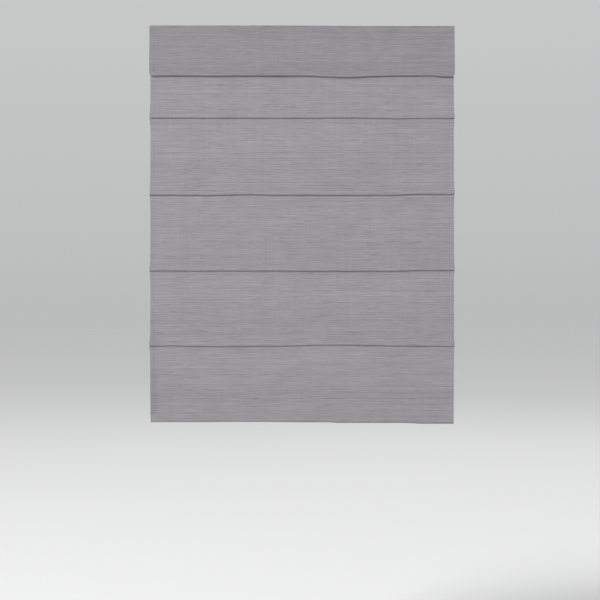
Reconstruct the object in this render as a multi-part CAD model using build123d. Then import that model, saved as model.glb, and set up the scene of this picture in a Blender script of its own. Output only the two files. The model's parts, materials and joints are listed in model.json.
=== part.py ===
from build123d import *
import os
from math import asin, cos, sin

# Cordless roman blind: a headrail with a spring-balanced lift, a tucked face cloth with a lining,
# ribs and a weight bar, and a flat valance over the top. Millimetres.
# Frame: the origin is the centre of the ceiling screw pattern on the brackets' top faces,
# +Z is up, -Y is the side that faces the room and +X is to the right as seen from the room.

# Cloth: drops are measured down from the cloth's top edge
CLOTH_WIDTH = 908.0
CLOTH_TOP = -1.0
CLOTH_THICKNESS = 1.0
CLOTH_DROP = 1179.5
FOLD_DROPS = (275.5, 504.5, 730.0, 953.5)
TUCK_HEIGHT = 12.0
LAYER_PITCH = 2.0
PANEL_BELLY = 2.0
BELLY_SHARE = 0.55
LEFT_PULL_IN = 4.5
RIGHT_PULL_IN = 3.5
HEM_HEIGHT = 30.0
HEM_DEPTH = 7.6

VALANCE_DROP = 150.0
VALANCE_HEM = 25.0
VALANCE_FRONT = 10.5
VALANCE_CORNER = 6.0

LINING_WIDTH = 896.0
LINING_THICKNESS = 0.8
LINING_GAP = 0.2
LINING_END = 32.0

# Headrail
RAIL_LENGTH = 899.0
RAIL_DEPTH = 50.0
RAIL_HEIGHT = 38.0
RAIL_WALL = 1.0
RAIL_TOP = -0.5
RAIL_LIP = 6.0
RAIL_CORNER = 1.5

CAP_PLATE = 2.5
CAP_SPIGOT = 14.0
CAP_WALL = 1.6
CAP_CLEARANCE = 0.2

TAPE_LENGTH = 890.0
TAPE_HEIGHT = 25.0
TAPE_THICKNESS = 1.0
TAPE_TOP = -5.0

# Ceiling brackets
BRACKET_X = 360.0
BRACKET_WIDTH = 26.0
BRACKET_STEEL = 1.2
BRACKET_PLAY = 0.6
BRACKET_LEG = 10.0
BRACKET_CATCH = 0.5
BRACKET_BEND = 0.7
SCREW_HOLE_RADIUS = 2.25
SCREW_PITCH_Y = 16.0

# Lift mechanism
STATION_X = 276.0
SHAFT_Y = -9.0
SHAFT_Z = -21.0
SHAFT_FLATS = 6.0
SHAFT_LENGTH = 646.0
JOURNAL_RADIUS = 5.0
RUNNING_GAP = 0.15
HEX_GAP = 0.05

CORD_RADIUS = 0.7
SAFETY_TURNS = 3
TURN_GAP = 0.02

SPOOL_RADIUS = 9.0
SPOOL_BARREL = 40.0
SPOOL_OFFSET = 15.0
SPOOL_FLANGE_RADIUS = 12.0
SPOOL_FLANGE = 2.0
SPOOL_JOURNAL = 4.0
SPOOL_NOTCH = (1.6, 3.0)
CLIP_RADIUS = 6.0
CLIP_WIDTH = 2.5
CLIP_GAP = 0.5

CRADLE_BASE = 2.0
CRADLE_PLATE = 3.0
CRADLE_HEIGHT = 25.0
CRADLE_WALL_HEIGHT = 9.0
CRADLE_FIT = 0.5
CRADLE_WALL = 1.5
CRADLE_SHOULDER = 9.0
CRADLE_THROAT = 0.4
CRADLE_FOOT = (8.0, 3.0)
CRADLE_FEET_X = (-18.0, 18.0)
CRADLE_FEET_Y = (-6.0, 16.0)

MOTOR_HALF = 18.0
MOTOR_PLATE = 2.5
MOTOR_TOP = -7.0
MOTOR_BEVEL = 3.0
MOTOR_COVER = 1.8
MOTOR_COVER_INSET = 4.0
MOTOR_COVER_BORDER = 4.0
DRUM_END_GAP = 0.5
DRUM_FLANGE_RADIUS = 9.5
DRUM_FLANGE = 1.4
OUTPUT_HUB_RADIUS = 6.5
STORAGE_HUB_RADIUS = 6.0
STORAGE_Y = 10.5
STORAGE_PIN_RADIUS = 2.0
STORAGE_PIN_HEAD = (3.5, 1.5)
SPRING_BAND = 24.0
SPRING_STEEL = 0.35
SPRING_GAP = 0.15
STORAGE_ROLL = 2.75
OUTPUT_ROLL = 0.7

EYELET_BORE = 1.6
EYELET_RADIUS = 3.2
EYELET_FLANGE_RADIUS = 4.6
EYELET_FLANGE = 1.2

# Ribs, rings and the weight bar
RIB_LENGTH = 888.0
RIB_HEIGHT = 12.0
RIB_THICKNESS = 2.4
RIB_BEVEL = 0.6
POCKET_LENGTH = 894.0
POCKET_HEIGHT = 18.0
POCKET_DEPTH = 3.6
POCKET_WALL = 0.5
POCKET_SEAM = 2.4
POCKET_RISE = 6.0
RING_RADIUS = 5.2
RING_WIRE = 0.9

BAR_LENGTH = 884.0
BAR_HEIGHT = 25.0
BAR_THICKNESS = 3.0
BAR_BEVEL = 0.5
BAR_RISE = 3.0
BAR_CAP_LENGTH = 8.0
BAR_CAP_END = 2.0
BAR_CAP_WALL = 1.0

ANCHOR_WIDTH = 10.0
ANCHOR_WALL = 1.1
ANCHOR_LEG = 8.0
ANCHOR_LUG = (31.0, 39.0)
ANCHOR_BORE = 1.2
ANCHOR_LUG_REACH = 4.0
KNOT_RADIUS = 1.9
KNOT_HEIGHT = 3.4
KNOT_RISE = 2.0
KNOT_CHAMBER = 2.4

# Places worked out from the sizes above
HALF_CLOTH = CLOTH_WIDTH / 2
RAIL_BOTTOM = RAIL_TOP - RAIL_HEIGHT
RAIL_FLOOR = RAIL_BOTTOM + RAIL_WALL
RAIL_FRONT = -RAIL_DEPTH / 2
CORD_Y = SHAFT_Y - SPOOL_RADIUS - CORD_RADIUS
HOOK_FRONT = RAIL_FRONT - TAPE_THICKNESS
LOOP_FRONT = HOOK_FRONT - TAPE_THICKNESS
LAYER_IN = LOOP_FRONT - LINING_THICKNESS - LINING_GAP - CLOTH_THICKNESS / 2
LAYER_MIDDLE = LAYER_IN - LAYER_PITCH
LAYER_OUT = LAYER_MIDDLE - LAYER_PITCH
BELLY_Y = LAYER_OUT - PANEL_BELLY
VALANCE_TOP_Y = LAYER_IN - CLOTH_THICKNESS
VALANCE_HEM_Y = LAYER_IN - VALANCE_FRONT
CLOTH_FOOT = CLOTH_TOP - CLOTH_DROP
FOLD_LINES = [CLOTH_TOP - drop for drop in FOLD_DROPS]
TURN_RADIUS = LAYER_PITCH / 2
POCKET_BACK = LOOP_FRONT + POCKET_DEPTH + LINING_GAP
POCKET_Y = POCKET_BACK - POCKET_DEPTH / 2
RING_Y = POCKET_BACK + RING_RADIUS + RING_WIRE
BAR_Y = LAYER_IN + HEM_DEPTH / 2
BAR_BOTTOM = CLOTH_FOOT + BAR_RISE
BAR_TOP = BAR_BOTTOM + BAR_HEIGHT
HEM_BACK_Y = LAYER_IN + HEM_DEPTH
KNOT_Z = CLOTH_FOOT + ANCHOR_LUG[0] + KNOT_RISE
SPOOL_CENTRE_X = STATION_X + SPOOL_OFFSET
SPOOL_HALF = SPOOL_BARREL / 2 + SPOOL_FLANGE
CRADLE_HALF = SPOOL_HALF + SPOOL_JOURNAL + RUNNING_GAP
MOTOR_HALF_DEPTH = RAIL_DEPTH / 2 - RAIL_WALL - CRADLE_FIT
DRUM_HALF = MOTOR_HALF - MOTOR_PLATE - DRUM_END_GAP
SIDES = {"left": -1, "right": 1}

# Small round pieces that repeat have this many flats
FLATS = 16


def along_x(profile, length, centre=0.0):
    """A YZ profile extruded along X, half to each side of centre."""
    return Pos(centre, 0, 0) * extrude(Plane.YZ * profile, length / 2, both=True)


def slab(y_limits, z_limits, corner=0.0):
    """A YZ rectangle between two limits each way, with rounded corners if they are given."""
    width = y_limits[1] - y_limits[0]
    height = z_limits[1] - z_limits[0]
    shape = RectangleRounded(width, height, corner) if corner else Rectangle(width, height)
    return Pos((y_limits[0] + y_limits[1]) / 2, (z_limits[0] + z_limits[1]) / 2) * shape


def bevelled(y_limits, z_limits, bevel):
    """A YZ rectangle between two limits each way, with bevelled corners."""
    shape = slab(y_limits, z_limits)
    return chamfer(shape.vertices(), bevel)


def round_bar(radius, start, end, y=SHAFT_Y):
    """A round bar on the shaft's axis, or on another one at y, from start to end along X."""
    return along_x(Pos(y, SHAFT_Z) * Circle(radius), end - start, (start + end) / 2)


def hexagon(flats):
    """A hexagon on the shaft's axis, given across its flats."""
    return Pos(SHAFT_Y, SHAFT_Z) * RegularPolygon(flats / 2, 6, major_radius=False)


def mirrored(part, side):
    """The part as made for the right, or its mirror image for the left."""
    return part if side > 0 else mirror(part, Plane.YZ)


def both(make):
    """A left and a right piece that share a node."""
    return Part() + [make(side) for side in SIDES.values()]


def s_curve(start, end):
    """Two equal arcs that leave start and reach end straight down."""
    middle = ((start[0] + end[0]) / 2, (start[1] + end[1]) / 2)
    first = TangentArc(start, middle, tangent=(0, -1))
    return [first, TangentArc(middle, end, tangent=first % 1)]


def half_turn(start, end):
    """A half circle from start to end that bulges down."""
    middle = ((start[0] + end[0]) / 2, start[1] - abs(end[0] - start[0]) / 2)
    return ThreePointArc(start, middle, end)


def cloth_outline(pull_left, pull_right, front, back):
    """A block whose sides draw in between the fold lines, to trim the cloth's edges to."""
    levels = [CLOTH_TOP, *FOLD_LINES, CLOTH_FOOT]
    edges = [Line((-HALF_CLOTH, levels[0]), (HALF_CLOTH, levels[0]))]
    for upper, lower in zip(levels, levels[1:]):
        for edge, pull in ((HALF_CLOTH, -pull_right), (-HALF_CLOTH, pull_left)):
            edges.append(ThreePointArc((edge, upper), (edge + pull, (upper + lower) / 2), (edge, lower)))
    edges.append(Line((-HALF_CLOTH, levels[-1]), (HALF_CLOTH, levels[-1])))
    face = make_face(Curve(edges))
    return Pos(0, back, 0) * extrude(Plane.XZ * face, back - front)


def face_cloth():
    """The face cloth: five panels, a tuck pressed flat at each fold line and a hem round the weight bar."""
    edges = [Line((LAYER_IN, CLOTH_TOP), (LAYER_IN, RAIL_BOTTOM))]
    top = RAIL_BOTTOM
    for fold in FOLD_LINES:
        lip = fold + CLOTH_THICKNESS / 2 + TURN_RADIUS
        tuck = fold + TUCK_HEIGHT - CLOTH_THICKNESS / 2
        belly = (BELLY_Y, top + (lip - top) * BELLY_SHARE)
        edges += s_curve((LAYER_IN, top), belly)
        edges += s_curve(belly, (LAYER_OUT, lip))
        edges.append(half_turn((LAYER_OUT, lip), (LAYER_MIDDLE, lip)))
        edges.append(Line((LAYER_MIDDLE, lip), (LAYER_MIDDLE, tuck)))
        edges.append(Line((LAYER_MIDDLE, tuck), (LAYER_IN, tuck)))
        top = tuck
    hem_top = CLOTH_FOOT + HEM_HEIGHT
    turn = CLOTH_FOOT + (HEM_DEPTH + CLOTH_THICKNESS) / 2
    belly = (BELLY_Y, top + (hem_top - top) * BELLY_SHARE)
    edges += s_curve((LAYER_IN, top), belly)
    edges += s_curve(belly, (LAYER_IN, hem_top))
    edges.append(Line((LAYER_IN, hem_top), (LAYER_IN, turn)))
    edges.append(half_turn((LAYER_IN, turn), (HEM_BACK_Y, turn)))
    edges.append(Line((HEM_BACK_Y, turn), (HEM_BACK_Y, hem_top)))
    cloth = along_x(trace(edges, CLOTH_THICKNESS), CLOTH_WIDTH)
    return cloth & cloth_outline(LEFT_PULL_IN, RIGHT_PULL_IN, BELLY_Y - 5, HEM_BACK_Y + 5)


def valance():
    """The flap over the top: it hangs from the cloth's top edge and its foot is turned up behind."""
    foot = CLOTH_TOP - VALANCE_DROP
    back = VALANCE_HEM_Y + LAYER_PITCH
    lip = foot + CLOTH_THICKNESS / 2 + TURN_RADIUS
    straight = CLOTH_TOP - TAPE_HEIGHT
    edges = [Line((VALANCE_TOP_Y, CLOTH_TOP), (VALANCE_TOP_Y, straight))]
    edges += s_curve((VALANCE_TOP_Y, straight), (VALANCE_HEM_Y, foot + VALANCE_HEM))
    edges.append(Line((VALANCE_HEM_Y, foot + VALANCE_HEM), (VALANCE_HEM_Y, lip)))
    edges.append(half_turn((VALANCE_HEM_Y, lip), (back, lip)))
    edges.append(Line((back, lip), (back, foot + VALANCE_HEM)))
    flap = along_x(trace(edges, CLOTH_THICKNESS), CLOTH_WIDTH)
    outline = Pos(0, foot + VALANCE_DROP / 2) * Rectangle(CLOTH_WIDTH, VALANCE_DROP)
    outline = fillet(outline.vertices().sort_by(Axis.Y)[:2], VALANCE_CORNER)
    return flap & Pos(0, back + 20, 0) * extrude(Plane.XZ * outline, 60)


def lining():
    """The plain lining behind the face cloth, from the loop tape to just above the weight bar."""
    back = LOOP_FRONT
    profile = slab((back - LINING_THICKNESS, back), (CLOTH_FOOT + LINING_END, CLOTH_TOP))
    return along_x(profile, LINING_WIDTH)


def headrail():
    """The channel with its inward lips, and the holes in its base for the eyelets and cradle feet."""
    outside = slab((RAIL_FRONT, -RAIL_FRONT), (RAIL_BOTTOM, RAIL_TOP), RAIL_CORNER)
    inside = offset(outside, -RAIL_WALL)
    mouth = RAIL_DEPTH - 2 * RAIL_LIP
    opening = slab((-mouth / 2, mouth / 2), (RAIL_TOP - 2 * RAIL_WALL, RAIL_TOP))
    rail = along_x(outside - inside - opening, RAIL_LENGTH)
    for side in SIDES.values():
        rail -= Pos(side * STATION_X, CORD_Y, RAIL_FLOOR) * eyelet_hole(4 * RAIL_WALL)
        for x, y in cradle_feet(side):
            rail -= Pos(x, y, RAIL_FLOOR) * Box(*CRADLE_FOOT, 4 * RAIL_WALL)
    return rail


def headrail_cap(side):
    """An end cap: a plate over the channel's end and a hollow spigot inside it."""
    plate = slab((RAIL_FRONT, -RAIL_FRONT), (RAIL_BOTTOM, RAIL_TOP), RAIL_CORNER)
    fit = offset(slab((RAIL_FRONT, -RAIL_FRONT), (RAIL_BOTTOM, RAIL_TOP)), -RAIL_WALL - CAP_CLEARANCE)
    hollow = offset(fit, -CAP_WALL)
    end = RAIL_LENGTH / 2
    cap = along_x(plate, CAP_PLATE, end + CAP_PLATE / 2)
    spigot = along_x(fit - hollow, CAP_SPIGOT, end - CAP_SPIGOT / 2)
    return mirrored(cap + spigot, side)


def bracket(side):
    """A ceiling clip: front foot under the front lip, plate with two screw holes, sprung rear leg."""
    mouth = RAIL_DEPTH / 2 - RAIL_LIP
    leg = mouth - BRACKET_PLAY - BRACKET_STEEL / 2
    plate = -BRACKET_STEEL / 2
    foot = RAIL_TOP - RAIL_WALL - BRACKET_STEEL / 2
    reach = RAIL_DEPTH / 2 - 2 * RAIL_WALL
    middle = Polyline(
        (-reach, foot), (-leg, foot), (-leg, plate), (leg, plate), (leg, -BRACKET_LEG),
        (reach - BRACKET_CATCH, foot - BRACKET_PLAY))
    profile = trace(middle, BRACKET_STEEL)
    corners = profile.vertices().sort_by(Axis.Y)
    profile = chamfer([corners[0], *corners[-2:]], BRACKET_BEND)
    strip = along_x(profile, BRACKET_WIDTH, side * BRACKET_X)
    for y in (-SCREW_PITCH_Y / 2, SCREW_PITCH_Y / 2):
        strip -= Pos(side * BRACKET_X, y, plate) * Cylinder(SCREW_HOLE_RADIUS, 4 * BRACKET_STEEL)
    return strip


def tape(back):
    """A strip of hook or loop tape on the rail's front, given its back face."""
    profile = slab((back - TAPE_THICKNESS, back), (TAPE_TOP - TAPE_HEIGHT, TAPE_TOP))
    return along_x(profile, TAPE_LENGTH)


def eyelet_hole(depth):
    """The hole that an eyelet fits, as a solid to cut with."""
    return extrude(RegularPolygon(EYELET_RADIUS, FLATS), depth / 2, both=True)


def cradle_feet(side):
    """The places of a cradle's feet in the rail's base."""
    centre = side * SPOOL_CENTRE_X
    return [(centre + dx, dy) for dx in CRADLE_FEET_X for dy in CRADLE_FEET_Y]


def spool_cradle(side):
    """The tray that a spool turns in: end plates with open bearings, low walls and four feet."""
    half_depth = MOTOR_HALF_DEPTH
    floor = (RAIL_FLOOR, RAIL_FLOOR + CRADLE_BASE)
    top = RAIL_FLOOR + CRADLE_HEIGHT
    bearing = JOURNAL_RADIUS + RUNNING_GAP
    length = 2 * CRADLE_HALF
    tray = along_x(slab((-half_depth, half_depth), floor), length)
    wall = RAIL_FLOOR + CRADLE_WALL_HEIGHT
    for y in (-half_depth, half_depth - CRADLE_WALL):
        tray += along_x(slab((y, y + CRADLE_WALL), (RAIL_FLOOR, wall)), length)
    plate = Polygon(
        (-half_depth, RAIL_FLOOR), (half_depth, RAIL_FLOOR), (half_depth, wall),
        (SHAFT_Y + CRADLE_SHOULDER, top), (SHAFT_Y - CRADLE_SHOULDER, top), (-half_depth, wall), align=None)
    notch = Pos(SHAFT_Y, SHAFT_Z) * Circle(bearing) + slab(
        (SHAFT_Y - bearing + CRADLE_THROAT, SHAFT_Y + bearing - CRADLE_THROAT), (SHAFT_Z, 0))
    for x in (-CRADLE_HALF + CRADLE_PLATE / 2, CRADLE_HALF - CRADLE_PLATE / 2):
        tray += along_x(plate - notch, CRADLE_PLATE, x)
    tray = Pos(side * SPOOL_CENTRE_X, 0, 0) * tray
    tray -= Pos(side * STATION_X, CORD_Y, RAIL_FLOOR) * eyelet_hole(4 * CRADLE_BASE)
    for x, y in cradle_feet(side):
        foot_size = [size - 2 * CAP_CLEARANCE for size in CRADLE_FOOT]
        tray += Pos(x, y, RAIL_FLOOR - RAIL_WALL / 2) * Box(*foot_size, RAIL_WALL)
    return tray


def cord_eyelet(side):
    """The flanged bush that leads a cord down through the cradle and the rail's base."""
    bore = RegularPolygon(EYELET_BORE, FLATS)
    bush = extrude(RegularPolygon(EYELET_RADIUS, FLATS) - bore, RAIL_WALL + CRADLE_BASE)
    bush += extrude(RegularPolygon(EYELET_FLANGE_RADIUS, FLATS) - bore, -EYELET_FLANGE)
    return Pos(side * STATION_X, CORD_Y, RAIL_BOTTOM) * bush


def drive_shaft():
    """The hexagonal rod that joins the motor to both spools."""
    return along_x(hexagon(SHAFT_FLATS), SHAFT_LENGTH)


def spool(side):
    """A cord spool: a barrel with a notched flange where the cord enters, journals and a hex bore."""
    half = SPOOL_BARREL / 2
    body = round_bar(SPOOL_RADIUS, -half, SPOOL_HALF)
    body += round_bar(SPOOL_FLANGE_RADIUS, -SPOOL_HALF, -half)
    body += round_bar(JOURNAL_RADIUS, -SPOOL_HALF - SPOOL_JOURNAL, SPOOL_HALF + SPOOL_JOURNAL)
    notch = Pos(-half - SPOOL_FLANGE / 2, SHAFT_Y, SHAFT_Z + SPOOL_FLANGE_RADIUS)
    body -= notch * Box(2 * SPOOL_FLANGE, *SPOOL_NOTCH)
    body -= along_x(hexagon(SHAFT_FLATS + 2 * HEX_GAP), 4 * half)
    return mirrored(Pos(SPOOL_CENTRE_X, 0, 0) * body, side)


def cord_wraps(side):
    """The turns of cord that stay on a spool when the blind is down, as one collar."""
    length = 2 * CORD_RADIUS * SAFETY_TURNS
    outer = RegularPolygon(SPOOL_RADIUS + 2 * CORD_RADIUS, FLATS)
    inner = RegularPolygon(SPOOL_RADIUS + TURN_GAP, FLATS, major_radius=False)
    centre = STATION_X - CORD_RADIUS - TURN_GAP - length / 2
    return mirrored(along_x(Pos(SHAFT_Y, SHAFT_Z) * (outer - inner), length, centre), side)


def shaft_clip(side):
    """The push-on clip that stops a spool at the shaft's end."""
    start = SPOOL_CENTRE_X + CRADLE_HALF + CLIP_GAP
    clip = round_bar(CLIP_RADIUS, start, start + CLIP_WIDTH)
    clip -= along_x(hexagon(SHAFT_FLATS), 2 * SHAFT_LENGTH)
    return mirrored(clip, side)


def motor_frame():
    """The motor's tray with two end plates, which hold the drums' bearings."""
    depth = (-MOTOR_HALF_DEPTH, MOTOR_HALF_DEPTH)
    bearing = JOURNAL_RADIUS + RUNNING_GAP
    tray = along_x(slab(depth, (RAIL_FLOOR, RAIL_FLOOR + CRADLE_BASE)), 2 * MOTOR_HALF)
    plate = slab(depth, (RAIL_FLOOR, MOTOR_TOP))
    plate = chamfer(plate.vertices().sort_by(Axis.Y)[2:], MOTOR_BEVEL)
    plate -= Pos(SHAFT_Y, SHAFT_Z) * Circle(bearing)
    plate -= slab((SHAFT_Y - bearing, SHAFT_Y + bearing), (SHAFT_Z, 0))
    plate -= Pos(STORAGE_Y, SHAFT_Z) * Circle(STORAGE_PIN_RADIUS)
    for x in (-MOTOR_HALF + MOTOR_PLATE / 2, MOTOR_HALF - MOTOR_PLATE / 2):
        tray += along_x(plate, MOTOR_PLATE, x)
    return tray


def motor_cover():
    """The snap-on cover: a window frame with two tongues that close the shaft's bearings."""
    half_depth = MOTOR_HALF_DEPTH - MOTOR_COVER_INSET
    cover = along_x(slab((-half_depth, half_depth), (MOTOR_TOP, MOTOR_TOP + MOTOR_COVER)), 2 * MOTOR_HALF)
    opening = half_depth - MOTOR_COVER_BORDER
    window = slab((-opening, opening), (MOTOR_TOP - MOTOR_COVER, MOTOR_TOP + 2 * MOTOR_COVER))
    cover -= along_x(window, 2 * (MOTOR_HALF - MOTOR_COVER_BORDER))
    depth = (SHAFT_Y - JOURNAL_RADIUS, SHAFT_Y + JOURNAL_RADIUS)
    tongue = slab(depth, (SHAFT_Z + RAIL_WALL, MOTOR_TOP + MOTOR_COVER / 2))
    tongue -= Pos(SHAFT_Y, SHAFT_Z) * Circle(JOURNAL_RADIUS + RUNNING_GAP)
    for x in (-MOTOR_HALF + MOTOR_PLATE / 2, MOTOR_HALF - MOTOR_PLATE / 2):
        cover += along_x(tongue, MOTOR_PLATE, x)
    return cover


def output_drum():
    """The drum on the shaft that the spring winds onto as the blind comes down."""
    drum = round_bar(OUTPUT_HUB_RADIUS, -DRUM_HALF, DRUM_HALF)
    for start in (-DRUM_HALF, DRUM_HALF - DRUM_FLANGE):
        drum += round_bar(DRUM_FLANGE_RADIUS, start, start + DRUM_FLANGE)
    drum += round_bar(JOURNAL_RADIUS, -MOTOR_HALF - DRUM_END_GAP, MOTOR_HALF + DRUM_END_GAP)
    return drum - along_x(hexagon(SHAFT_FLATS + 2 * HEX_GAP), 4 * MOTOR_HALF)


def storage_drum():
    """The free drum that the spring rests on when the blind is up."""
    drum = round_bar(STORAGE_HUB_RADIUS, -DRUM_HALF, DRUM_HALF, STORAGE_Y)
    return drum - round_bar(STORAGE_PIN_RADIUS + RUNNING_GAP, -MOTOR_HALF, MOTOR_HALF, STORAGE_Y)


def storage_pin():
    """The headed pin that the storage drum turns on."""
    head_radius, head_height = STORAGE_PIN_HEAD
    pin = round_bar(STORAGE_PIN_RADIUS, -MOTOR_HALF - head_height, MOTOR_HALF, STORAGE_Y)
    return pin + round_bar(head_radius, MOTOR_HALF, MOTOR_HALF + head_height, STORAGE_Y)


def power_spring():
    """The flat spring: a roll on each drum and the band that crosses between them."""
    storage_inner = STORAGE_HUB_RADIUS + SPRING_GAP
    output_inner = OUTPUT_HUB_RADIUS + SPRING_GAP
    storage_outer = storage_inner + STORAGE_ROLL
    output_outer = output_inner + OUTPUT_ROLL
    storage = Pos(STORAGE_Y, SHAFT_Z) * (Circle(storage_outer) - Circle(storage_inner))
    output = Pos(SHAFT_Y, SHAFT_Z) * (Circle(output_outer) - Circle(output_inner))
    far = storage_outer - SPRING_STEEL / 2
    near = output_outer - SPRING_STEEL / 2
    lean = asin((far + near) / (STORAGE_Y - SHAFT_Y))
    start = (SHAFT_Y + near * sin(lean), SHAFT_Z - near * cos(lean))
    end = (STORAGE_Y - far * sin(lean), SHAFT_Z + far * cos(lean))
    band = trace(Line(start, end), SPRING_STEEL)
    return along_x(storage + output + band, SPRING_BAND)


def lift_cord(side):
    """A lift cord, pulled straight from its spool down to the knot in its anchor."""
    bottom = (Align.CENTER, Align.CENTER, Align.MIN)
    run = Cylinder(CORD_RADIUS, SHAFT_Z - KNOT_Z, align=bottom)
    knot = extrude(RegularPolygon(KNOT_RADIUS, FLATS), KNOT_HEIGHT / 2, both=True)
    return Pos(side * STATION_X, CORD_Y, KNOT_Z) * (run + knot)


def rib(level):
    """A flat batten in its pocket."""
    half = RIB_THICKNESS / 2
    heights = (level - RIB_HEIGHT / 2, level + RIB_HEIGHT / 2)
    return along_x(bevelled((POCKET_Y - half, POCKET_Y + half), heights, RIB_BEVEL), RIB_LENGTH)


def rib_pocket(level):
    """The tube of tape that holds a rib, sewn flat to the lining along its two long edges."""
    half = POCKET_HEIGHT / 2
    hollow = half - POCKET_SEAM
    front = POCKET_BACK - POCKET_DEPTH
    seam = front + 2 * POCKET_WALL
    outside = Polygon(
        (front, -half), (seam, -half), (POCKET_BACK, -hollow), (POCKET_BACK, hollow), (seam, half),
        (front, half), align=None)
    inside = slab((front + POCKET_WALL, POCKET_BACK - POCKET_WALL), (-hollow, hollow))
    return along_x(Pos(0, level) * (outside - inside), POCKET_LENGTH)


def rings(level):
    """The two rings on the back of a rib pocket, which the lift cords run through."""
    outline = RegularPolygon(RING_RADIUS + RING_WIRE, FLATS) - RegularPolygon(RING_RADIUS - RING_WIRE, FLATS)
    ring = extrude(outline, RING_WIRE, both=True)
    return Part() + [Pos(side * STATION_X, RING_Y, level) * ring for side in SIDES.values()]


def weight_bar():
    """The flat steel bar in the hem pocket."""
    half = BAR_THICKNESS / 2
    return along_x(bevelled((BAR_Y - half, BAR_Y + half), (BAR_BOTTOM, BAR_TOP), BAR_BEVEL), BAR_LENGTH)


def bar_cap(side):
    """The moulded cap on an end of the weight bar."""
    half = BAR_THICKNESS / 2 + BAR_CAP_WALL
    heights = (BAR_BOTTOM - BAR_CAP_WALL, BAR_TOP + BAR_CAP_WALL)
    outside = bevelled((BAR_Y - half, BAR_Y + half), heights, BAR_CAP_WALL)
    end = BAR_LENGTH / 2 + BAR_CAP_END
    cap = along_x(outside, BAR_CAP_LENGTH, end - BAR_CAP_LENGTH / 2)
    return mirrored(cap - weight_bar(), side)


def cord_anchor(side):
    """The clip over the weight bar, with the lug that the cord's knot pulls up against."""
    half = BAR_THICKNESS / 2
    front = (BAR_Y - half - ANCHOR_WALL, BAR_Y - half)
    back = (BAR_Y + half, BAR_Y + half + ANCHOR_WALL)
    low, high = (CLOTH_FOOT + level for level in ANCHOR_LUG)
    clip = slab(front, (BAR_TOP - ANCHOR_LEG, BAR_TOP + ANCHOR_WALL))
    clip += slab((front[0], back[1]), (BAR_TOP, BAR_TOP + ANCHOR_WALL))
    clip += slab(back, (BAR_TOP - ANCHOR_LEG, high))
    clip += slab((back[0], CORD_Y + ANCHOR_LUG_REACH), (low, high))
    anchor = along_x(clip, ANCHOR_WIDTH)
    bottom = (Align.CENTER, Align.CENTER, Align.MIN)
    roof = KNOT_Z + KNOT_HEIGHT / 2 + RUNNING_GAP
    anchor -= Pos(0, CORD_Y, low) * Cylinder(ANCHOR_BORE, high - low, align=bottom)
    anchor -= Pos(0, CORD_Y, low) * Box(2 * KNOT_CHAMBER, 2 * KNOT_CHAMBER, roof - low, align=bottom)
    return Pos(side * STATION_X, 0, 0) * anchor


def pieces():
    """Every piece of the blind by the name of its node."""
    made = {
        "headrail": headrail(),
        "hook_tape": tape(RAIL_FRONT),
        "loop_tape": tape(HOOK_FRONT),
        "valance": valance(),
        "face_cloth": face_cloth(),
        "lining": lining(),
        "motor_frame": motor_frame(),
        "motor_cover": motor_cover(),
        "output_drum": output_drum(),
        "storage_drum": storage_drum(),
        "storage_pin": storage_pin(),
        "power_spring": power_spring(),
        "drive_shaft": drive_shaft(),
        "spools": both(spool),
        "shaft_clips": both(shaft_clip),
        "cord_wraps": both(cord_wraps),
        "cord_eyelets": both(cord_eyelet),
        "weight_bar": weight_bar(),
        "cord_anchors": both(cord_anchor),
    }
    paired = {
        "headrail_cap": headrail_cap,
        "bracket": bracket,
        "spool_cradle": spool_cradle,
        "lift_cord": lift_cord,
        "bar_cap": bar_cap,
    }
    for name, make in paired.items():
        for side_name, side in SIDES.items():
            made[f"{name}_{side_name}"] = make(side)
    for number, fold in enumerate(FOLD_LINES, start=1):
        level = fold + POCKET_RISE
        made[f"rib_{number}"] = rib(level)
        made[f"rib_pocket_{number}"] = rib_pocket(level)
        made[f"rings_{number}"] = rings(level)
    return made


os.makedirs("parts", exist_ok=True)
for node, solid in pieces().items():
    export_step(solid, f"parts/{node}.step")
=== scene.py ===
"""The looks of a cordless roman blind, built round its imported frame. Metres, in the frame's axes."""
import json
import math

import bpy
import numpy as np
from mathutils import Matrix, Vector


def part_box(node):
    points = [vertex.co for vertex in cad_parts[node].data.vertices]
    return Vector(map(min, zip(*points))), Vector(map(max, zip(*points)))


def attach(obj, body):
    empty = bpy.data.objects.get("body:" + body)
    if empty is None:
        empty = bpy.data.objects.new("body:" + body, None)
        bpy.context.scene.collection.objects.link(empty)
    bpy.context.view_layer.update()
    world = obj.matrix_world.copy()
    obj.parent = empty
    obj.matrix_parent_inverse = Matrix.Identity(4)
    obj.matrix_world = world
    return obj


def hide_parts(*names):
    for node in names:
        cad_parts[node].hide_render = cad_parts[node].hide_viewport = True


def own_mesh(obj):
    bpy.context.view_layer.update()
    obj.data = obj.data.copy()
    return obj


# Cloth
THICKNESS = 0.0007
LAYER_PITCH = 0.002
# A front view doesn't show how deep the lips and bellies are: they are set by how dark the folds render.
LIP_DEPTHS = (0.0015, 0.0021, 0.0022, 0.0019)
TUCK_HEIGHT = 0.0115
POCKET_RISE = 0.006
BELLIES = (0.0012, 0.002, 0.002, 0.002, 0.002)
BELLY_SHARE = 0.55
BELLY_POWER = 1.5
LEFT_PULL_IN = 0.0032
RIGHT_PULL_IN = 0.0026
PULL_START = 0.25
PULL_WIDTH = 0.2
FLARE = 0.025
CURL = 0.0044
CURL_START = 0.424
CURL_WIDTH = 0.03
INNER_COLUMNS = 113
SIDE_HEM = 0.015
SIDE_HEM_EDGE = 0.0012
FACE_RIDGE = 0.00035
FOOT_HEM = 0.030
HEM_DEPTH = 0.0076
HEM_TURN = 0.0078
HEM_LEAN = 0.001
RIDE_ZONE = 0.040
VALANCE_STRAIGHT = 0.025
VALANCE_HEM = 0.025
VALANCE_CORNER = 0.007
VALANCE_CORNER_REACH = 0.024
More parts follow.
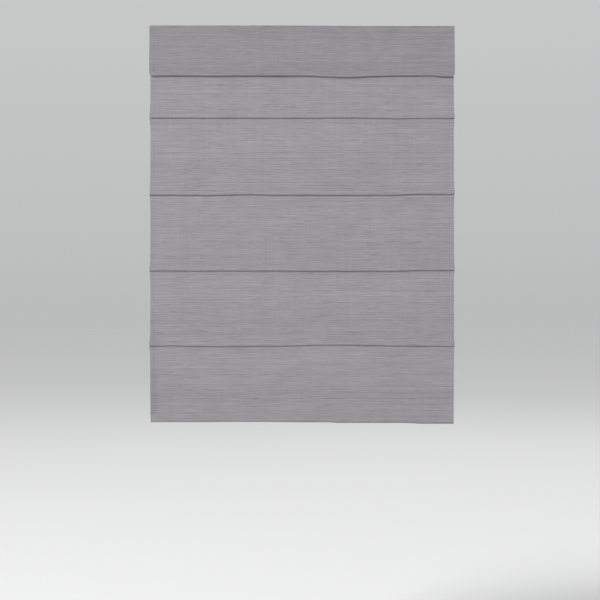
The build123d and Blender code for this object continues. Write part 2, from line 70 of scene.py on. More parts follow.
VALANCE_SET_BACK = 0.001
VALANCE_TOP_GAP = 0.001
VALANCE_RIDGE = 0.0003
LINING_THICKNESS = 0.0006
LINING_RIPPLE = 0.00008
# The pitch is one pixel of the photo, the finest it can show, and the start puts the cords on the pixel
# rows of the front view. The real cords may be finer.
WEFT_PITCH = 0.002974
WEFT_START = 0.05
WEFT_REPEAT = 6.0

# Cords and hardware
CORD_RADIUS = 0.0007
SPOOL_RADIUS = 0.009
SAFETY_TURNS = 3
RING_RADIUS = 0.0052
RING_WIRE = 0.0009
THREAD_RADIUS = 0.00028
STITCH_LENGTH = 0.0030
STITCH_PITCH = 0.0042
STITCH_INSET = 0.0003
SEAM_DEPTH = 0.0014
SEAM_END = 0.004
TIE_PITCH = 0.0009
KNOT_RISE = 0.0017
KNOT_SIZE = 0.00042
KNOT_HEIGHT = 0.0008
SPRING_STEEL = 0.0003
SPRING_ROLLS = (9, 2)
SPRING_GAP = 0.0002

# View and light
VIEW_CENTRE = (-0.006, -0.818)
VIEW_DISTANCE = 4.213
VIEW_LENS = 85
FLOOR_Z = -2.1
FLOOR_HALF_SIZE = 60.0
FLOOR_COLOUR = (0.72, 0.72, 0.72, 1)
SKY_COLOUR = (0.995, 1.0, 1.005, 1)
SKY_AT_HORIZON = 0.50
SKY_GAIN = 0.27
SKY_CURVE = 0.8


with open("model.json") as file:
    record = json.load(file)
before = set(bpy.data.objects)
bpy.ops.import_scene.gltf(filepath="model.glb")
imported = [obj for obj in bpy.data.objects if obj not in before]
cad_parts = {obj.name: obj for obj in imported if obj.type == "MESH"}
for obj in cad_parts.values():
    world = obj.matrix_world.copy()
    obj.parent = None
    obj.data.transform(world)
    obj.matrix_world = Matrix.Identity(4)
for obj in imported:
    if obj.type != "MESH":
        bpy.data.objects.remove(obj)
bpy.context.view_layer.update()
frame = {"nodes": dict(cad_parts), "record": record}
nodes = frame["nodes"]

cloth_low, cloth_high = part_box("face_cloth")
valance_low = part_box("valance")[0]
lining_low, lining_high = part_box("lining")
rail_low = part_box("headrail")[0]
shaft_low, shaft_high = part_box("drive_shaft")
storage_low, storage_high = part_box("storage_drum")
pocket_boxes = [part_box(f"rib_pocket_{number}") for number in range(1, 5)]
ring_boxes = [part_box(f"rings_{number}") for number in range(1, 5)]

HALF_WIDTH = cloth_high.x
TOP = cloth_high.z
FOOT = cloth_low.z
FOLDS = [(low.z + high.z) / 2 - POCKET_RISE for low, high in pocket_boxes]
LAYER_IN = lining_low.y - THICKNESS
LAYER_MIDDLE = LAYER_IN - LAYER_PITCH
LAYERS_OUT = [LAYER_MIDDLE - depth for depth in LIP_DEPTHS]
SHAFT_Y = (shaft_low.y + shaft_high.y) / 2
SHAFT_Z = (shaft_low.z + shaft_high.z) / 2
STATION_X = ring_boxes[0][1].x - RING_RADIUS - RING_WIRE
CORD_Y = SHAFT_Y - SPOOL_RADIUS - CORD_RADIUS
SIDES = {"left": -1, "right": 1}

HELD_Z = -RIDE_ZONE
HEM_Z = FOOT + RIDE_ZONE


def smooth(t):
    """0 to 1 with level ends."""
    t = np.clip(t, 0.0, 1.0)
    return t * t * (3 - 2 * t)


def bump(x, centre, width):
    """A soft bump of height 1."""
    return np.exp(-(((x - centre) / width) ** 2))


# Mesh helpers


def add_object(name, mesh):
    """A mesh object in the scene."""
    piece = bpy.data.objects.new(name, mesh)
    bpy.context.scene.collection.objects.link(piece)
    return piece


def mesh_from(name, points, faces, uvs=None):
    """A smooth mesh from points and faces, with one UV for each point where they are given."""
    mesh = bpy.data.meshes.new(name)
    faces = faces if isinstance(faces, list) else faces.tolist()
    mesh.from_pydata(np.asarray(points).tolist(), [], faces)
    if uvs is not None:
        layer = mesh.uv_layers.new(name="cloth")
        corners = np.empty(len(mesh.loops), np.int32)
        mesh.loops.foreach_get("vertex_index", corners)
        layer.data.foreach_set("uv", np.asarray(uvs, np.float32)[corners].ravel())
    mesh.polygons.foreach_set("use_smooth", [True] * len(mesh.polygons))
    mesh.update()
    return mesh


def grid_faces(rows, columns, start=0):
    """The quads of a grid of points kept row by row."""
    index = np.arange(rows * columns).reshape(rows, columns) + start
    quads = np.stack([index[:-1, :-1], index[1:, :-1], index[1:, 1:], index[:-1, 1:]], -1)
    return quads.reshape(-1, 4)


def cloth_mesh(name, middle, uvs, thickness=THICKNESS):
    """A closed sheet of cloth round its middle surface, a grid of points."""
    rows, columns = middle.shape[:2]
    across = np.gradient(middle, axis=1)
    down = np.gradient(middle, axis=0)
    normal = np.cross(across, down)
    normal /= np.maximum(np.linalg.norm(normal, axis=2, keepdims=True), 1e-12)
    front = middle - normal * thickness / 2
    back = middle + normal * thickness / 2
    points = np.concatenate([front.reshape(-1, 3), back.reshape(-1, 3)])
    half = rows * columns
    index = np.arange(half).reshape(rows, columns)
    rim = np.concatenate([index[0, :], index[1:, -1], index[-1, -2::-1], index[-2:0:-1, 0]])
    following = np.roll(rim, -1)
    rims = np.stack([rim, following, following + half, rim + half], -1)
    faces = np.concatenate([grid_faces(rows, columns), grid_faces(rows, columns, half)[:, ::-1], rims])
    flat_uvs = uvs.reshape(-1, 2)
    mesh = mesh_from(name, points, faces, np.concatenate([flat_uvs, flat_uvs]))
    on_rim = np.zeros(2 * half, bool)
    on_rim[np.concatenate([rim, rim + half])] = True
    ends = np.empty(2 * len(mesh.edges), np.int32)
    mesh.edges.foreach_get("vertices", ends)
    ends = ends.reshape(-1, 2)
    mesh.edges.foreach_set("use_edge_sharp", on_rim[ends].all(1) & ((ends < half).sum(1) != 1))
    mesh.update()
    return mesh


def tube_mesh(name, path, radius, sides=10, closed=False):
    """A round tube along a list of points."""
    path = np.asarray(path, float)
    count = len(path)
    if closed:
        tangents = np.roll(path, -1, axis=0) - np.roll(path, 1, axis=0)
    else:
        tangents = np.gradient(path, axis=0)
    tangents /= np.linalg.norm(tangents, axis=1, keepdims=True)
    side = np.cross(tangents[0], (0.3, 0.5, 0.8))
    rims = []
    for point, tangent in zip(path, tangents):
        side = side - tangent * (side @ tangent)
        side /= np.linalg.norm(side)
        other = np.cross(tangent, side)
        angles = np.arange(sides) * 2 * math.pi / sides
        rims.append(point + radius * (np.outer(np.cos(angles), side) + np.outer(np.sin(angles), other)))
    index = np.arange(count * sides).reshape(count, sides)
    following = np.roll(index, -1, axis=1)
    if closed:
        lower = np.roll(index, -1, axis=0)
        quads = np.stack([index, following, np.roll(lower, -1, axis=1), lower], -1).reshape(-1, 4)
        return mesh_from(name, np.concatenate(rims), quads)
    quads = np.stack([index[:-1], following[:-1], following[1:], index[1:]], -1).reshape(-1, 4)
    ends = [index[0][::-1].tolist(), index[-1].tolist()]
    return mesh_from(name, np.concatenate(rims), quads.tolist() + ends)


def merged_mesh(name, meshes):
    """One mesh of several, which are used up."""
    points, faces, start = [], [], 0
    for mesh in meshes:
        points += [tuple(vertex.co) for vertex in mesh.vertices]
        faces += [tuple(corner + start for corner in face.vertices) for face in mesh.polygons]
        start = len(points)
        bpy.data.meshes.remove(mesh)
    return mesh_from(name, points, faces)


def lathe_mesh(name, profile, centre, steps=40):
    """A closed profile of (radius, height) points turned about a vertical axis at centre."""
    angles = np.arange(steps) * 2 * math.pi / steps
    radius, height = np.asarray(profile, float).T
    points = np.stack([
        centre[0] + np.outer(np.cos(angles), radius),
        centre[1] + np.outer(np.sin(angles), radius),
        centre[2] + np.tile(height, (steps, 1)),
    ], -1)
    index = np.arange(points.shape[0] * points.shape[1]).reshape(points.shape[:2])
    around = np.roll(index, -1, axis=0)
    quads = np.stack([index, around, np.roll(around, -1, axis=1), np.roll(index, -1, axis=1)], -1)
    return mesh_from(name, points.reshape(-1, 3), quads.reshape(-1, 4))


def copies_mesh(name, template, places):
    """One mesh of many copies of a small template, moved to their places."""
    points, faces = template
    points = np.asarray(points, float)
    faces = np.asarray(faces)
    all_points = (points[None] + np.asarray(places)[:, None]).reshape(-1, 3)
    starts = np.arange(len(places)) * len(points)
    all_faces = (faces[None] + starts[:, None, None]).reshape(-1, faces.shape[1])
    return mesh_from(name, all_points, all_faces)


def stitch_template(length, radius):
    """A stitch along X: a slim spindle of thread."""
    stations = np.linspace(-1, 1, 5)
    rims = []
    for station in stations:
        spread = radius * max(0.15, math.sqrt(1 - station**2))
        for corner in range(6):
            angle = corner * math.pi / 3
            rims.append((station * length / 2, spread * math.cos(angle), spread * math.sin(angle)))
    index = np.arange(30).reshape(5, 6)
    following = np.roll(index, -1, axis=1)
    quads = np.stack([index[:-1], following[:-1], following[1:], index[1:]], -1).reshape(-1, 4)
    return np.array(rims), quads


# Material helpers


def put(tree, kind, **settings):
    """A shader node. A setting names an input, with spaces as underscores, or a property."""
    made = tree.nodes.new(kind)
    for name, value in settings.items():
        socket = next((s for s in made.inputs if s.name == name.replace("_", " ")), None)
        if socket is None:
            setattr(made, name, value)
        elif isinstance(value, bpy.types.NodeSocket):
            tree.links.new(value, socket)
        else:
            socket.default_value = value
    return made


def maths(tree, operation, first, second=0.0, third=0.0):
    """The result of a Math node."""
    made = tree.nodes.new("ShaderNodeMath")
    made.operation = operation
    for socket, value in zip(made.inputs, (first, second, third)):
        if isinstance(value, bpy.types.NodeSocket):
            tree.links.new(value, socket)
        else:
            socket.default_value = value
    return made.outputs[0]


def new_material(name, **shader):
    """A material and its tree and main shader, whose plain inputs are set."""
    made = bpy.data.materials.new(name)
    made.use_nodes = True
    tree = made.node_tree
    main = tree.nodes["Principled BSDF"]
    for key, value in shader.items():
        main.inputs[key.replace("_", " ")].default_value = value
    return made, tree, main


def stretched_noise(tree, vector, scale, detail=2.0, roughness=0.5):
    """Noise stretched by a scale for each axis."""
    mapping = put(tree, "ShaderNodeMapping", Vector=vector, Scale=scale)
    noise = put(tree, "ShaderNodeTexNoise", Vector=mapping.outputs[0], Scale=1.0, Detail=detail,
                Roughness=roughness)
    return noise.outputs["Fac"]


def row_noise(tree, across, number, scale, offset, detail):
    """Noise along each numbered row of the weave, unlike that of the rows beside it."""
    vector = put(tree, "ShaderNodeCombineXYZ")
    tree.links.new(maths(tree, "MULTIPLY", across, scale), vector.inputs[0])
    tree.links.new(maths(tree, "MULTIPLY_ADD", number, 7.37, offset), vector.inputs[1])
    vector.inputs[2].default_value = offset
    noise = put(tree, "ShaderNodeTexNoise", Vector=vector.outputs[0], Scale=1.0, Detail=detail, Roughness=0.5)
    return noise.outputs["Fac"]


def tinted(tree, colour, factor):
    """A colour times a brightness."""
    scaled = put(tree, "ShaderNodeVectorMath", operation="SCALE")
    scaled.inputs[0].default_value = colour
    tree.links.new(factor, scaled.inputs["Scale"])
    return scaled.outputs[0]


def around_one(tree, value, strength):
    """A value round a half made into a factor round one."""
    return maths(tree, "MULTIPLY_ADD", value, 2 * strength, 1 - strength)


# Fabric materials

FACE_COLOUR = (0.231, 0.224, 0.235)
# The valance is the face cloth; its darker colour here is painted shade, not a different dye.
VALANCE_SHADED_COLOUR = (0.202, 0.196, 0.2055)
LINING_COLOUR = (0.63, 0.615, 0.565)
TAPE_COLOUR = (0.56, 0.55, 0.52)
CORD_COLOUR = (0.62, 0.61, 0.585)


def slubbed_cloth(name, colour):
    """The grey face cloth: thick and thin weft cords across it, with slubs, mottling and a faint warp."""
    made, tree, main = new_material(name, Roughness=0.92, Specular_IOR_Level=0.2, Sheen_Weight=0.12)
    cloth = put(tree, "ShaderNodeUVMap", uv_map="cloth").outputs[0]
    place = put(tree, "ShaderNodeSeparateXYZ", Vector=cloth)
    across = place.outputs["X"]
    wobble = stretched_noise(tree, cloth, (40, 40, 1), 1.0)
    height = maths(tree, "MULTIPLY_ADD", place.outputs["Y"], 1 / WEFT_PITCH, WEFT_START)
    height = maths(tree, "MULTIPLY_ADD", wobble, 0.2, height)
    cord_number = maths(tree, "FLOOR", height)
    sign = maths(tree, "MULTIPLY_ADD", maths(tree, "PINGPONG", cord_number, 1.0), 2.0, -1.0)
    dashes = row_noise(tree, across, cord_number, 17.0, 0.0, 4.0)
    rows = row_noise(tree, across, cord_number, 0.5, 40.0, 1.0)
    place_in_repeat = maths(tree, "FLOORED_MODULO", cord_number, WEFT_REPEAT)
    repeat = row_noise(tree, across, place_in_repeat, 0.7, 90.0, 1.0)
    strength = stretched_noise(tree, cloth, (14, 60, 1), 2.0)
    alternate = maths(tree, "MULTIPLY", sign, maths(tree, "MULTIPLY_ADD", strength, 0.42, -0.185))
    threads = stretched_noise(tree, cloth, (30, 1100, 1), 2.0, 0.6)
    warp = stretched_noise(tree, cloth, (300, 2, 1), 2.0)
    mottle = stretched_noise(tree, cloth, (9, 14, 1), 3.0)
    slub_noise = row_noise(tree, across, cord_number, 22.0, 140.0, 1.0)
    slubs = put(tree, "ShaderNodeMapRange", Value=slub_noise, From_Min=0.60, From_Max=0.72, To_Min=1.0,
                To_Max=0.88)
    factor = maths(tree, "ADD", around_one(tree, dashes, 0.23), alternate)
    for value, share in ((rows, 0.13), (repeat, 0.10), (threads, 0.14), (warp, 0.07), (mottle, 0.06)):
        factor = maths(tree, "MULTIPLY", factor, around_one(tree, value, share))
    factor = maths(tree, "MULTIPLY", factor, slubs.outputs[0])
    tint = stretched_noise(tree, cloth, (22, 22, 5), 2.0)
    cooler = put(tree, "ShaderNodeMix", data_type="RGBA")
    tree.links.new(tint, cooler.inputs[0])
    warm_end = [channel * share for channel, share in zip(colour, (1.006, 1.0, 0.975))]
    cool_end = [channel * share for channel, share in zip(colour, (0.994, 1.0, 1.025))]
    for socket, end in ((cooler.inputs[6], warm_end), (cooler.inputs[7], cool_end)):
        socket.default_value = (*end, 1)
    scaled = put(tree, "ShaderNodeVectorMath", operation="SCALE")
    tree.links.new(cooler.outputs[2], scaled.inputs[0])
    tree.links.new(factor, scaled.inputs["Scale"])
    tree.links.new(scaled.outputs[0], main.inputs["Base Color"])
    relief = maths(tree, "ADD", maths(tree, "MULTIPLY", threads, 0.7), maths(tree, "MULTIPLY", dashes, 0.5))
    bump_node = put(tree, "ShaderNodeBump", Strength=0.3, Distance=0.0004, Height=relief)
    tree.links.new(bump_node.outputs[0], main.inputs["Normal"])
    return made


def plain_cloth(name, colour, threads_per_metre, contrast):
    """A plain even weave, from the object's own place."""
    made, tree, main = new_material(name, Roughness=0.95, Specular_IOR_Level=0.15, Sheen_Weight=0.1)
    place = put(tree, "ShaderNodeTexCoord").outputs["Object"]
    weft = stretched_noise(tree, place, (20, 20, threads_per_metre))
    warp = stretched_noise(tree, place, (threads_per_metre, 20, 20))
    mottle = stretched_noise(tree, place, (6, 6, 6), 3.0)
    factor = maths(tree, "MULTIPLY", around_one(tree, weft, contrast), around_one(tree, warp, contrast))
    factor = maths(tree, "MULTIPLY", factor, around_one(tree, mottle, 0.04))
    tree.links.new(tinted(tree, colour, factor), main.inputs["Base Color"])
    relief = maths(tree, "ADD", weft, warp)
    height = put(tree, "ShaderNodeBump", Strength=0.3, Distance=0.0003, Height=relief)
    tree.links.new(height.outputs[0], main.inputs["Normal"])
    return made


def hook_and_loop(name, colour):
    """The fuzzy face of hook-and-loop tape."""
    made, tree, main = new_material(name, Roughness=0.95, Specular_IOR_Level=0.15, Sheen_Weight=0.25)
    place = put(tree, "ShaderNodeTexCoord").outputs["Object"]
    fuzz = stretched_noise(tree, place, (900, 900, 900), 4.0, 0.7)
    tree.links.new(tinted(tree, colour, around_one(tree, fuzz, 0.2)), main.inputs["Base Color"])
    height = put(tree, "ShaderNodeBump", Strength=0.6, Distance=0.0006, Height=fuzz)
    tree.links.new(height.outputs[0], main.inputs["Normal"])
    return made


def braided(name, colour):
    """Braided cord: fine slanting strands."""
    made, tree, main = new_material(name, Roughness=0.8, Specular_IOR_Level=0.3)
    place = put(tree, "ShaderNodeTexCoord").outputs["Object"]
    waves = put(tree, "ShaderNodeTexWave", Vector=place, Scale=260.0, Distortion=1.5,
                bands_direction="DIAGONAL")
    strands = waves.outputs["Fac"]
    tree.links.new(tinted(tree, colour, around_one(tree, strands, 0.1)), main.inputs["Base Color"])
    height = put(tree, "ShaderNodeBump", Strength=0.5, Distance=0.0002, Height=strands)
    tree.links.new(height.outputs[0], main.inputs["Normal"])
    return made


# Hard materials


def painted(name, colour):
    """Satin paint on rolled steel, with a fine orange peel and a little dust."""
    made, tree, main = new_material(name, Specular_IOR_Level=0.5, Coat_Weight=0.15, Coat_Roughness=0.25)
    place = put(tree, "ShaderNodeTexCoord").outputs["Object"]
    dust = stretched_noise(tree, place, (9, 30, 30), 4.0)
    peel = stretched_noise(tree, place, (900, 900, 900), 1.0)
    tree.links.new(tinted(tree, colour, around_one(tree, dust, 0.03)), main.inputs["Base Color"])
    tree.links.new(maths(tree, "MULTIPLY_ADD", dust, 0.2, 0.3), main.inputs["Roughness"])
    height = put(tree, "ShaderNodeBump", Strength=0.08, Distance=0.0002, Height=peel)
    tree.links.new(height.outputs[0], main.inputs["Normal"])
    return made


def brushed(name, colour, roughness):
    """Steel with fine lines along X."""
    made, tree, main = new_material(name, Metallic=1.0)
    place = put(tree, "ShaderNodeTexCoord").outputs["Object"]
    lines = stretched_noise(tree, place, (30, 1500, 1500), 3.0)
    tree.links.new(tinted(tree, colour, around_one(tree, lines, 0.08)), main.inputs["Base Color"])
    tree.links.new(maths(tree, "MULTIPLY_ADD", lines, 0.15, roughness), main.inputs["Roughness"])
    height = put(tree, "ShaderNodeBump", Strength=0.1, Distance=0.0001, Height=lines)
    tree.links.new(height.outputs[0], main.inputs["Normal"])
    return made


def moulded(name, colour, roughness):
    """Moulded plastic with a fine spark-eroded grain."""
    made, tree, main = new_material(name, Specular_IOR_Level=0.45, Subsurface_Weight=0.05,
                                    Subsurface_Scale=0.002)
    place = put(tree, "ShaderNodeTexCoord").outputs["Object"]
    grain = stretched_noise(tree, place, (1400, 1400, 1400), 2.0)
    cloud = stretched_noise(tree, place, (40, 40, 40), 2.0)
    tree.links.new(tinted(tree, colour, around_one(tree, cloud, 0.03)), main.inputs["Base Color"])
    tree.links.new(maths(tree, "MULTIPLY_ADD", grain, 0.15, roughness), main.inputs["Roughness"])
    height = put(tree, "ShaderNodeBump", Strength=0.12, Distance=0.0001, Height=grain)
    tree.links.new(height.outputs[0], main.inputs["Normal"])
    return made


def glassfibre(name, colour):
    """Pultruded glass fibre: pale, with strands along X."""
    made, tree, main = new_material(name, Roughness=0.35, Specular_IOR_Level=0.5)
    place = put(tree, "ShaderNodeTexCoord").outputs["Object"]
    strands = stretched_noise(tree, place, (8, 2000, 2000), 3.0)
    tree.links.new(tinted(tree, colour, around_one(tree, strands, 0.12)), main.inputs["Base Color"])
    return made


face_fabric = slubbed_cloth("face_fabric", FACE_COLOUR)
# The valance's material is the face cloth with painted shade in its colour.
valance_fabric_painted_shade = slubbed_cloth("valance_fabric_painted_shade", VALANCE_SHADED_COLOUR)
lining_fabric = plain_cloth("lining_fabric", LINING_COLOUR, 900, 0.06)
cord_fabric = braided("cord_fabric", CORD_COLOUR)
thread = plain_cloth("thread", (0.66, 0.645, 0.61), 2500, 0.1)
SLOT_MATERIALS = {
    "tape_fabric": plain_cloth("tape_fabric", TAPE_COLOUR, 700, 0.1),
    "rail_paint": painted("rail_paint", (0.62, 0.62, 0.605)),
    "clip_steel": brushed("clip_steel", (0.60, 0.60, 0.58), 0.35),
    "white_plastic": moulded("white_plastic", (0.66, 0.66, 0.64), 0.35),
    "grey_plastic": moulded("grey_plastic", (0.23, 0.24, 0.25), 0.45),
    "drum_plastic": moulded("drum_plastic", (0.56, 0.56, 0.54), 0.4),
    "bright_steel": brushed("bright_steel", (0.62, 0.62, 0.63), 0.22),
    "spring_steel": brushed("spring_steel", (0.34, 0.35, 0.38), 0.2),
    "rib_glassfibre": glassfibre("rib_glassfibre", (0.63, 0.63, 0.60)),
}
FUZZY = hook_and_loop("hook_and_loop", (0.52, 0.515, 0.49))


def dress_nodes():
    """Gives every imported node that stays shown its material."""
    for part in frame["record"]["subparts"]:
        material = SLOT_MATERIALS.get(part["material_slot"])
        if part["node"] in ("hook_tape", "loop_tape"):
            material = FUZZY
        if material:
            nodes[part["node"]].data.materials.clear()
            nodes[part["node"]].data.materials.append(material)


def finish_piece(piece, material, body=None):
    """The material and body of a piece."""
    piece.data.materials.append(material)
    if body:
        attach(piece, body)
    return piece


# The cloth's shape


def sway(line, x):
    """How far a line across the cloth lies above its true level at x.

    Line 0 is the top, 1 to 4 are the folds, 5 is the foot and 6 the hem's back edge.
    """
    if line == 6:
        return 0.0
    if line == 0:
        return -0.0012 * smooth((x + 0.1) / 0.3)
    if line == 1:
        wave = 0.0009 * bump(x, 0.13, 0.06) - 0.0015 * bump(x, 0.285, 0.025)
        return wave - 0.0003 + 0.0005 * smooth((-0.1 - x) / 0.1) - 0.0005 * smooth((x - 0.15) / 0.1)
    if line == 2:
        wave = 0.0006 * bump(x, -0.43, 0.05) - 0.0014 * bump(x, -0.282, 0.02)
        wave += 0.0015 * bump(x, -0.16, 0.05)
        return wave - 0.0003 - 0.0006 * bump(x, 0.3, 0.03) + 0.003 * smooth((x - 0.25) / 0.1)
    if line == 3:
        wave = 0.0004 * bump(x, -0.39, 0.05) + 0.0006 * bump(x, -0.24, 0.03)
        wave += 0.0007 * bump(x, -0.09, 0.06)
        return wave - 0.0004 + 0.0022 * smooth((x - 0.28) / 0.08)
    if line == 4:
        wave = 0.0012 * bump(x, -0.38, 0.04) - 0.0012 * bump(x, -0.25, 0.04)
        wave += 0.0032 * bump(x, 0.1, 0.13) - 0.0005 * bump(x, 0.44, 0.03)
        return wave - 0.0005 + 0.0006 * smooth((x + 0.03) / 0.05)
    left = -0.0016 * smooth((-0.05 - x) / 0.28) - 0.0018 * smooth((x + 0.2) / 0.2)
    return left - 0.002 * smooth((x - 0.06) / 0.06) - 0.0027 * smooth((x - 0.3) / 0.07)


def swell(x, line):
    """How far the panels stand out at x, as a share of the belly. Each panel has its own slow waves."""
    phase = 1.7 * line
    waves = ((0.45, 9, 1.0), (0.3, 21, 2.3), (0.2, 37, 0.7))
    return sum(height * np.sin(rate * x + share * phase) for height, rate, share in waves)


def column_places():
    """Where the cloth's grid has points across, closer together at the side hems."""
    hem = HALF_WIDTH - SIDE_HEM
    inner = np.linspace(-hem + 0.006, hem - 0.006, INNER_COLUMNS)
    round_hem = [hem + step for step in (-0.003, -0.0012, 0.0, 0.0012, 0.004, 0.008)]
    edge = np.array([*round_hem, HALF_WIDTH - 0.003, HALF_WIDTH])
    return np.concatenate([-edge[::-1], inner, edge])


def run_of(start, end, steps):
    """Points down an S from start to end, closer together near both."""
    share = (1 - np.cos(np.linspace(0, math.pi, steps))) / 2
    ease = np.where(share < 0.5, 2 * share**2, 1 - 2 * (1 - share) ** 2)
    y = start[0] + (end[0] - start[0]) * ease
    z = start[1] + (end[1] - start[1]) * share
    return np.stack([y, z], -1)


def turn_of(start, end, steps, height=None):
    """Points round the half circle below start and end, or the half ellipse of a height."""
    centre = (start[0] + end[0]) / 2
    radius = abs(end[0] - start[0]) / 2
    way = 1 if end[0] > start[0] else -1
    angles = np.linspace(0, math.pi, steps)
    y = centre - way * radius * np.cos(angles)
    z = start[1] - (height or radius) * np.sin(angles)
    return np.stack([y, z], -1)


def face_profile():
    """The face cloth's middle line as rows of y, z, fold coordinate and belly share."""
    rows = []
    top = rail_low.z
    straight = run_of((LAYER_IN, TOP), (LAYER_IN, top), 8)
    length = TOP - FOLDS[0]
    rows += [(y, z, (TOP - z) / length, 0.0) for y, z in straight]
    before = TOP
    for line, fold in enumerate(FOLDS, start=1):
        outer = LAYERS_OUT[line - 1]
        lip = fold + (THICKNESS + LAYER_MIDDLE - outer) / 2
        crest = fold + TUCK_HEIGHT - LAYER_PITCH / 2
        belly = (outer - BELLIES[line - 1], top + (lip - top) * BELLY_SHARE)
        upper = run_of((LAYER_IN, top), belly, 20)
        lower = run_of(belly, (outer, lip), 20)
        for y, z in [*upper[1:], *lower[1:]]:
            share = (top - z) / (top - lip)
            place = line - 1 + (before - z) / (before - fold)
            rows.append((y, z, place, math.sin(math.pi * share) ** BELLY_POWER))
        rows += [(y, z, line, 0.0) for y, z in turn_of((outer, lip), (LAYER_MIDDLE, lip), 8)[1:]]
        rows += [(LAYER_MIDDLE, z, line, 0.0) for z in np.linspace(lip, crest, 4)[1:]]
        upside_down = turn_of((LAYER_MIDDLE, -crest), (LAYER_IN, -crest), 6)[1:]
        rows += [(y, -z, line, 0.0) for y, z in upside_down]
        top = crest
        before = fold
    hem_top = FOOT + FOOT_HEM
    turn = FOOT + HEM_TURN + THICKNESS / 2
    belly = (LAYERS_OUT[3] - BELLIES[4], top + (hem_top - top) * BELLY_SHARE)
    upper = run_of((LAYER_IN, top), belly, 20)
    lower = run_of(belly, (LAYER_IN - HEM_LEAN, hem_top), 22)
    for y, z in [*upper[1:], *lower[1:]]:
        share = (top - z) / (top - hem_top)
        place = 4 + (before - z) / (before - FOOT)
        rows.append((y, z, place, math.sin(math.pi * share) ** BELLY_POWER))
    for share in np.linspace(0, 1, 8)[1:]:
        z = hem_top + (turn - hem_top) * share
        rows.append((LAYER_IN - HEM_LEAN * (1 - share**2), z, 4 + (before - z) / (before - FOOT), 0.0))
    back = LAYER_IN + HEM_DEPTH
    rows += [(y, z, 5.0, 0.0) for y, z in turn_of((LAYER_IN, turn), (back, turn), 14, HEM_TURN)[1:]]
    for share in np.linspace(0, 1, 8)[1:]:
        rows.append((back, turn + (hem_top - turn) * share, 5 + share, 0.0))
    return np.array(rows)


def sheet_grid(profile, columns, line_of, pull=True):
    """The middle surface of a cloth from its profile and columns, its UVs, and each row's way down it."""
    y, z, line, belly = profile.T
    steps = np.hypot(np.diff(y), np.diff(z))
    drop = np.concatenate([[0], np.cumsum(steps)])
    x = np.tile(columns, (len(profile), 1))
    levels = np.stack([line_of(number, columns) + 0 * columns for number in range(7)])
    base = np.where(line > 5, 5, np.clip(np.floor(line).astype(int), 0, 4))
    part = (line - base)[:, None]
    raise_by = levels[base] * (1 - part) + levels[base + 1] * part
    if pull:
        riding = (HEM_Z - FOLDS[3]) / (FOOT - FOLDS[3])
        above_bar = levels[4] * np.clip(1 - part / riding, 0, 1)
        round_bar = levels[5] * np.clip((part - riding) / (1 - riding), 0, 1)
        raise_by = np.where((line > 4)[:, None] & (line <= 5)[:, None], above_bar + round_bar, raise_by)
        panel_lengths = np.diff([TOP, *FOLDS, FOOT, FOOT - 1]) * -1
        below = np.where(base == 4, line - base, 1 - (line - base))
        nearest = np.where(base == 5, 1.0, np.minimum(line - base, below)) * panel_lengths[base]
        drawn = (1 - np.exp(-np.abs(nearest) / FLARE))[:, None]
        pulls = np.where(columns < 0, -LEFT_PULL_IN, RIGHT_PULL_IN)
        x = x - drawn * pulls * smooth((np.abs(columns) - PULL_START) / PULL_WIDTH)
    waves = np.stack([swell(columns, number) for number in range(6)])
    out = (belly * np.array(BELLIES)[np.minimum(base, 4)])[:, None] * waves[base]
    grid = np.stack([x, y[:, None] - out, z[:, None] + raise_by], -1)
    uvs = np.stack([np.tile(columns, (len(profile), 1)), grid[:, :, 2]], -1)
    return grid, uvs, drop


def hem_ridge(grid, columns, height):
    """Presses the side hems' edges into the cloth, a faint line down each side."""
    ridge = height * bump(np.abs(columns), HALF_WIDTH - SIDE_HEM, SIDE_HEM_EDGE)
    grid[:, :, 1] += ridge[None, :]


def crease(grid, start, end, sag, width, depth):
    """A soft curved crease between two points (x, z), pressed in by depth."""
    x, z = grid[:, :, 0], grid[:, :, 2]
    run = np.array(end) - np.array(start)
    length = np.hypot(*run)
    along = ((x - start[0]) * run[0] + (z - start[1]) * run[1]) / length**2
    off = ((x - start[0]) * -run[1] + (z - start[1]) * run[0]) / length
    curve = sag * 4 * along * (1 - along)
    fade = np.clip(along, 0, 1) * np.clip(1 - along, 0, 1) * 4
    grid[:, :, 1] += depth * fade * bump(off, curve, width)


def build_face():
    """The face cloth in three pieces that meet: held at the rail, the panels, and the hem."""
    columns = column_places()
    profile = face_profile()
    grid, uvs, drop = sheet_grid(profile, columns, sway)
    hem_ridge(grid, columns, FACE_RIDGE)
    curl = CURL * smooth((-CURL_START - grid[:, :, 0]) / CURL_WIDTH) ** 1.5
    curl *= smooth((FOLDS[2] - grid[:, :, 2]) / 0.3)
    grid[:, :, 1] -= curl * smooth((grid[:, :, 2] - FOOT - 0.014) / 0.02)
    crease(grid, (0.425, FOLDS[3] - 0.004), (0.453, FOLDS[3] - 0.022), 0.003, 0.003, 0.0010)
    crease(grid, (0.33, FOLDS[3] + 0.006), (0.45, FOLDS[3] + 0.05), -0.012, 0.006, 0.0012)
    crease(grid, (0.36, FOOT + 0.05), (0.452, FOOT + 0.015), 0.008, 0.006, 0.0010)
    crease(grid, (-0.452, FOOT + 0.012), (-0.38, FOOT + 0.06), 0.008, 0.006, 0.0010)
    rest_z = profile[:, 1]
    held = int(np.argmin(np.abs(rest_z[:12] - HELD_Z)))
    hem = int(np.argmax((rest_z < HEM_Z) & (profile[:, 2] > 4)))
    grid[held, :, 2] = HELD_Z
    grid[hem, :, 2] = rest_z[hem]
    ends = {"face_top": (0, held), "face_panels": (held, hem), "face_hem": (hem, len(profile) - 1)}
    pieces = {}
    for name, (first, last) in ends.items():
        mesh = cloth_mesh(name, grid[first:last + 1], uvs[first:last + 1])
        pieces[name] = finish_piece(add_object(name, mesh), face_fabric)
        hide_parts("face_cloth")
    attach(pieces["face_top"], "headrail")
    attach(pieces["face_hem"], "bottom_rail")
    gather(pieces["face_panels"])


